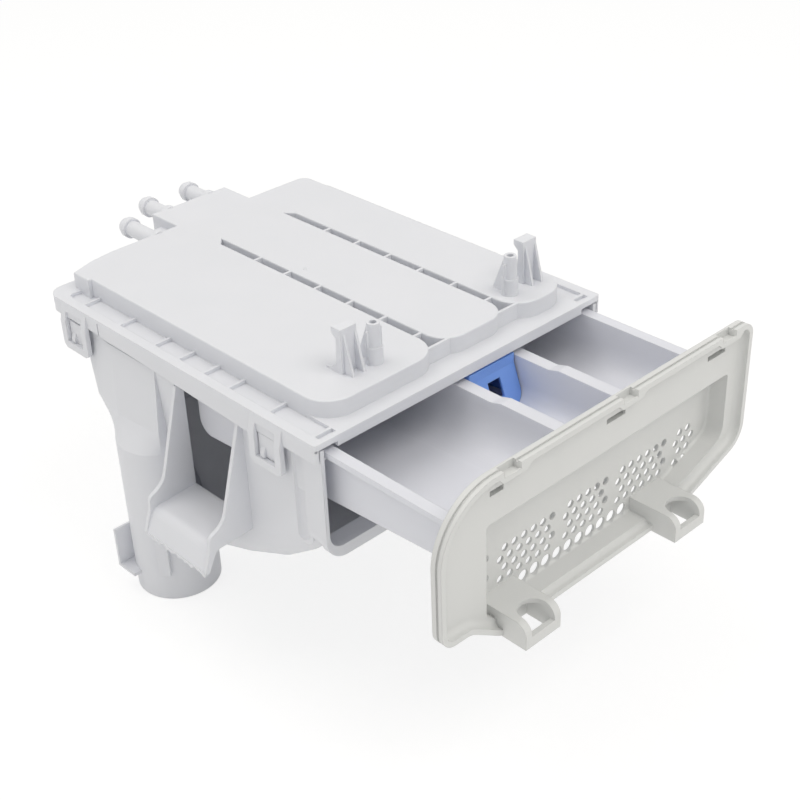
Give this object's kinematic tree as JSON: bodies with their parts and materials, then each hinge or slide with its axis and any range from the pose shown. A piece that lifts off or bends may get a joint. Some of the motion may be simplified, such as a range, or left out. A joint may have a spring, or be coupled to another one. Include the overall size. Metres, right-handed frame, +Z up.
{
  "type": "washing machine detergent dispenser",
  "caption": "Detergent dispenser of a washing machine: hopper housing with outlet pipe, water distributor cover with inlet spigots, and a sliding drawer with compartments and a siphon cap.",
  "frame": {"origin": "midway between the axes of the two screw bosses on the cover, on the plane of their tops", "axes": "+X to the right seen from the front, +Y back into the machine, +Z up along the screw bosses"},
  "size_m": [0.2259, 0.3572, 0.1809],
  "materials": {
    "white_plastic": "satin",
    "grey_plastic": "satin",
    "blue_plastic": "satin"
  },
  "bodies": {
    "dispenser": {"housing": "white_plastic", "cover": "white_plastic", "spray_plate": "white_plastic"},
    "drawer": {"tray": "white_plastic", "front_plate": "grey_plastic", "siphon_cap": "blue_plastic"}
  },
  "joints": [
    {"name": "drawer_slide", "type": "slide", "parent": "dispenser", "child": "drawer", "axis": [0, 1, 0], "range_m": [-0.07, 0.066]}
  ]
}
